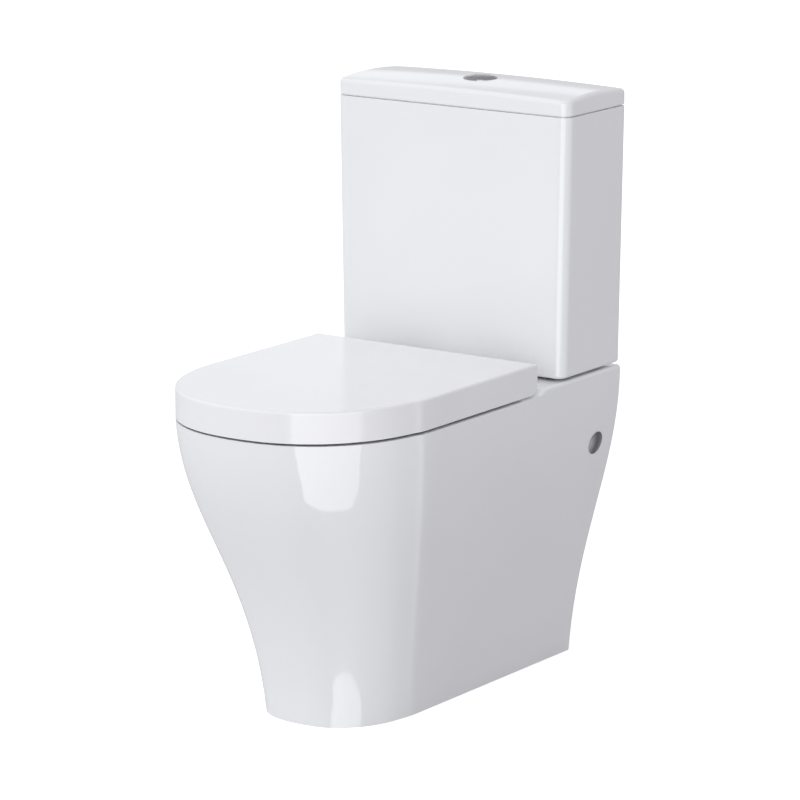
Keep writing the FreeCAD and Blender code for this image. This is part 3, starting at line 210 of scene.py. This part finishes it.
MATERIALS = {
    "white_glaze": glaze(),
    "seat_plastic": seat_gloss(),
    "valve_plastic": moulded("valve_plastic", (0.66, 0.67, 0.68, 1), (0.72, 0.73, 0.74, 1), 0.42),
    "coloured_plastic": moulded("coloured_plastic", (0.03, 0.11, 0.32, 1), (0.04, 0.14, 0.38, 1), 0.40),
    "rubber": moulded("rubber", (0.012, 0.012, 0.013, 1), (0.022, 0.022, 0.024, 1), 0.68),
    # chrome's base colour is far darker than real chrome's: a painted dark reflection of dark
    # surroundings, under its real mirror gloss
    "chrome": metal("chrome", (0.25, 0.25, 0.255, 1), (0.29, 0.29, 0.295, 1), 0.05, 0.09, 120.0),
    "plated_steel": metal("plated_steel", (0.46, 0.46, 0.44, 1), (0.58, 0.58, 0.55, 1), 0.24, 0.36, 400.0),
}


def paint(thing, slot):
    thing.data.materials.clear()
    thing.data.materials.append(MATERIALS[slot])


def paint_cad_nodes():
    """Each node gets the material that the record names for it."""
    for part in frame["record"]["subparts"]:
        thing = frame["nodes"][part["node"]]
        paint(thing, part["material_slot"])


# ---------------------------------------------------------------- return springs
def coil_centre_line(centre, radius, low, high):
    """Points along an even helix that turns counterclockwise as it rises."""
    count = COIL_TURNS * COIL_STEPS
    points = []
    for i in range(count + 1):
        angle = 2 * math.pi * i / COIL_STEPS
        points.append(Vector((centre.x + radius * math.cos(angle), centre.y + radius * math.sin(angle),
                              low + (high - low) * i / count)))
    return points


def wire_mesh(name, points, radius):
    """Round wire along a line of points, with flat ends."""
    mesh = bmesh.new()
    rings = []
    for i, place in enumerate(points):
        ahead = points[min(i + 1, len(points) - 1)] - points[max(i - 1, 0)]
        across = ahead.cross(Vector((0, 0, 1))).normalized()
        over = across.cross(ahead).normalized()
        turn = [2 * math.pi * k / WIRE_SIDES for k in range(WIRE_SIDES)]
        rings.append([mesh.verts.new(place + across * radius * math.cos(t) + over * radius * math.sin(t))
                      for t in turn])
    for first, second in zip(rings, rings[1:]):
        for k in range(WIRE_SIDES):
            after = (k + 1) % WIRE_SIDES
            mesh.faces.new((first[k], first[after], second[after], second[k]))
    mesh.faces.new(reversed(rings[0]))
    mesh.faces.new(rings[-1])
    bmesh.ops.recalc_face_normals(mesh, faces=mesh.faces)
    for face in mesh.faces:
        face.smooth = len(face.verts) == 4
    data = bpy.data.meshes.new(name)
    mesh.to_mesh(data)
    mesh.free()
    return data


def return_spring(side):
    """Coil under one half of the flush button, standing in for the spring part and carried with the
    cistern lid.
    """
    node = side + "_flush_spring"
    low, high = (Vector(corner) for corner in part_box(node))
    centre = (low + high) / 2
    radius = (high.x - low.x) / 2 - COIL_WIRE
    points = coil_centre_line(centre, radius, low.z + COIL_WIRE, high.z - COIL_WIRE)
    name = side + "_return_coil"
    coil = bpy.data.objects.new(name, wire_mesh(name, points, COIL_WIRE))
    bpy.context.scene.collection.objects.link(coil)
    paint(coil, "plated_steel")
    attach(coil, "cistern_lid")
    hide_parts(node)
    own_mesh(coil)


paint_cad_nodes()
return_spring("full")
return_spring("half")


# ---------------------------------------------------------------- studio
def fill_light():
    """Square light from the front right that gloss doesn't show."""
    data = bpy.data.lights.new("fill", "AREA")
    data.shape = "SQUARE"
    data.size = FILL_SIDE
    data.energy = FILL_WATTS
    light = bpy.data.objects.new("fill", data)
    bpy.context.scene.collection.objects.link(light)
    light.location = FILL_PLACE
    direction = Vector(FILL_TARGET) - Vector(FILL_PLACE)
    light.rotation_euler = direction.to_track_quat("-Z", "Y").to_euler()
    light.visible_glossy = False


def seen_by(tree, ray, shown, other):
    """Mixes two shaders: one for the named kind of ray, one for all other rays."""
    path = tree.nodes.new("ShaderNodeLightPath")
    mix = tree.nodes.new("ShaderNodeMixShader")
    tree.links.new(path.outputs[ray], mix.inputs["Fac"])
    tree.links.new(other.outputs[0], mix.inputs[1])
    tree.links.new(shown.outputs[0], mix.inputs[2])
    return mix


def studio_floor():
    """Plain pale floor that the camera sees lighter than it lights the object."""
    mesh = bpy.data.meshes.new("studio_floor")
    size = FLOOR_HALF_SIDE
    corners = [(-size, -size, 0), (size, -size, 0), (size, size, 0), (-size, size, 0)]
    mesh.from_pydata(corners, [], [(0, 1, 2, 3)])
    floor = bpy.data.objects.new("studio_floor", mesh)
    bpy.context.scene.collection.objects.link(floor)
    material, tree, shader = new_material("studio_floor")
    cloud = noise(tree, scale=3.0)
    varied(tree, shader, "Base Color", cloud, grey(0.71), grey(0.72))
    shader.inputs["Roughness"].default_value = 0.9
    shader.inputs["Specular IOR Level"].default_value = 0.0
    lit = tree.nodes.new("ShaderNodeEmission")
    lit.inputs["Strength"].default_value = FLOOR_GLOW
    both = tree.nodes.new("ShaderNodeAddShader")
    tree.links.new(shader.outputs[0], both.inputs[0])
    tree.links.new(lit.outputs[0], both.inputs[1])
    mix = seen_by(tree, "Is Camera Ray", both, shader)
    tree.links.new(mix.outputs[0], tree.nodes["Material Output"].inputs["Surface"])
    mesh.materials.append(material)
    floor.visible_glossy = False


def toward(azimuth, elevation):
    """Unit direction; the azimuth turns from the front of the pan to its right."""
    a, e = math.radians(azimuth), math.radians(elevation)
    return Vector((math.sin(a) * math.cos(e), -math.cos(a) * math.cos(e), math.sin(e)))


def glow(tree, source, direction, inner, outer, strength):
    """Background that is bright around a direction and fades to nothing, angles in degrees."""
    dot = tree.nodes.new("ShaderNodeVectorMath")
    dot.operation = "DOT_PRODUCT"
    dot.inputs[1].default_value = direction
    tree.links.new(source, dot.inputs[0])
    fade = tree.nodes.new("ShaderNodeMapRange")
    fade.interpolation_type = "SMOOTHSTEP"
    fade.inputs["From Min"].default_value = math.cos(math.radians(outer))
    fade.inputs["From Max"].default_value = math.cos(math.radians(inner))
    fade.inputs["To Max"].default_value = strength
    tree.links.new(dot.outputs["Value"], fade.inputs["Value"])
    light = tree.nodes.new("ShaderNodeBackground")
    light.inputs["Color"].default_value = GLOW_COLOUR
    tree.links.new(fade.outputs["Result"], light.inputs["Strength"])
    return light


def added(tree, first, second):
    """The sum of two shaders."""
    both = tree.nodes.new("ShaderNodeAddShader")
    tree.links.new(first.outputs[0], both.inputs[0])
    tree.links.new(second.outputs[0], both.inputs[1])
    return both


def studio_world():
    """White behind the object, and light that fades from the front left to the back right."""
    world = bpy.data.worlds.new("studio")
    bpy.context.scene.world = world
    world.use_nodes = True
    tree = world.node_tree
    white = tree.nodes["Background"]
    white.inputs["Color"].default_value = grey(1.0)
    white.inputs["Strength"].default_value = 1.0
    direction = tree.nodes.new("ShaderNodeTexCoord").outputs["Generated"]
    dot = tree.nodes.new("ShaderNodeVectorMath")
    dot.operation = "DOT_PRODUCT"
    dot.inputs[1].default_value = Vector(LIGHT_FROM).normalized()
    tree.links.new(direction, dot.inputs[0])
    spread = tree.nodes.new("ShaderNodeMapRange")
    spread.inputs["From Min"].default_value = -1.0
    spread.inputs["From Max"].default_value = 1.0
    tree.links.new(dot.outputs["Value"], spread.inputs["Value"])
    colour = ramp(tree, spread.outputs["Result"], SHADE_SIDE, LIGHT_SIDE, 0.0, 1.0)
    sky = tree.nodes.new("ShaderNodeBackground")
    tree.links.new(colour.outputs["Color"], sky.inputs["Color"])
    sky.inputs["Strength"].default_value = SKY_STRENGTH
    mirrored = sky
    for azimuth, elevation, inner, outer, strength in REFLECTED_GLOWS:
        spot = glow(tree, direction, toward(azimuth, elevation), inner, outer, strength)
        mirrored = added(tree, mirrored, spot)
    light = seen_by(tree, "Is Glossy Ray", mirrored, sky)
    mix = seen_by(tree, "Is Camera Ray", white, light)
    tree.links.new(mix.outputs[0], tree.nodes["World Output"].inputs["Surface"])


def softbox(name, distance, outline):
    """Lit panel that only gloss shows, on the front of the pan, the foot and the seat."""
    centre = PANEL_ORIGIN + toward(PANEL_AZIMUTH, 0) * distance
    along = toward(PANEL_AZIMUTH + 90, 0)
    corners = [centre + along * s + Vector((0, 0, z - centre.z)) for s, z in outline]
    mesh = bpy.data.meshes.new(name)
    mesh.from_pydata(corners, [], [list(range(len(corners)))])
    panel = bpy.data.objects.new(name, mesh)
    bpy.context.scene.collection.objects.link(panel)
    material, tree, shader = new_material(name)
    material.cycles.emission_sampling = "NONE"
    lit = tree.nodes.new("ShaderNodeEmission")
    lit.inputs["Strength"].default_value = PANEL_RADIANCE
    cloth = noise(tree, scale=2.0)
    colour = ramp(tree, cloth.outputs["Fac"], (0.96, 0.975, 1.0, 1.0), (0.98, 0.985, 1.0, 1.0))
    tree.links.new(colour.outputs["Color"], lit.inputs["Color"])
    tree.links.new(lit.outputs[0], tree.nodes["Material Output"].inputs["Surface"])
    mesh.materials.append(material)
    panel.visible_camera = False
    panel.visible_diffuse = False
    panel.visible_transmission = False
    panel.visible_shadow = False


def camera():
    """Long lens from the front right, slightly above the lid."""
    data = bpy.data.cameras.new("camera")
    data.lens = CAMERA_LENS
    data.sensor_width = SENSOR
    data.clip_end = CLIP_END
    thing = bpy.data.objects.new("camera", data)
    bpy.context.scene.collection.objects.link(thing)
    back = Vector((math.sin(CAMERA_AZIMUTH) * math.cos(CAMERA_ELEVATION),
                   -math.cos(CAMERA_AZIMUTH) * math.cos(CAMERA_ELEVATION), math.sin(CAMERA_ELEVATION)))
    right = Vector((math.cos(CAMERA_AZIMUTH), math.sin(CAMERA_AZIMUTH), 0.0))
    up = back.cross(right)
    thing.matrix_world = Matrix((
        (right.x, up.x, back.x, CAMERA_PLACE.x),
        (right.y, up.y, back.y, CAMERA_PLACE.y),
        (right.z, up.z, back.z, CAMERA_PLACE.z),
        (0, 0, 0, 1)))
    bpy.context.scene.camera = thing


studio_floor()
studio_world()
camera()
softbox("near_softbox", *NEAR_PANEL)
softbox("far_softbox", *FAR_PANEL)
fill_light()
bpy.context.scene.view_settings.view_transform = "Standard"
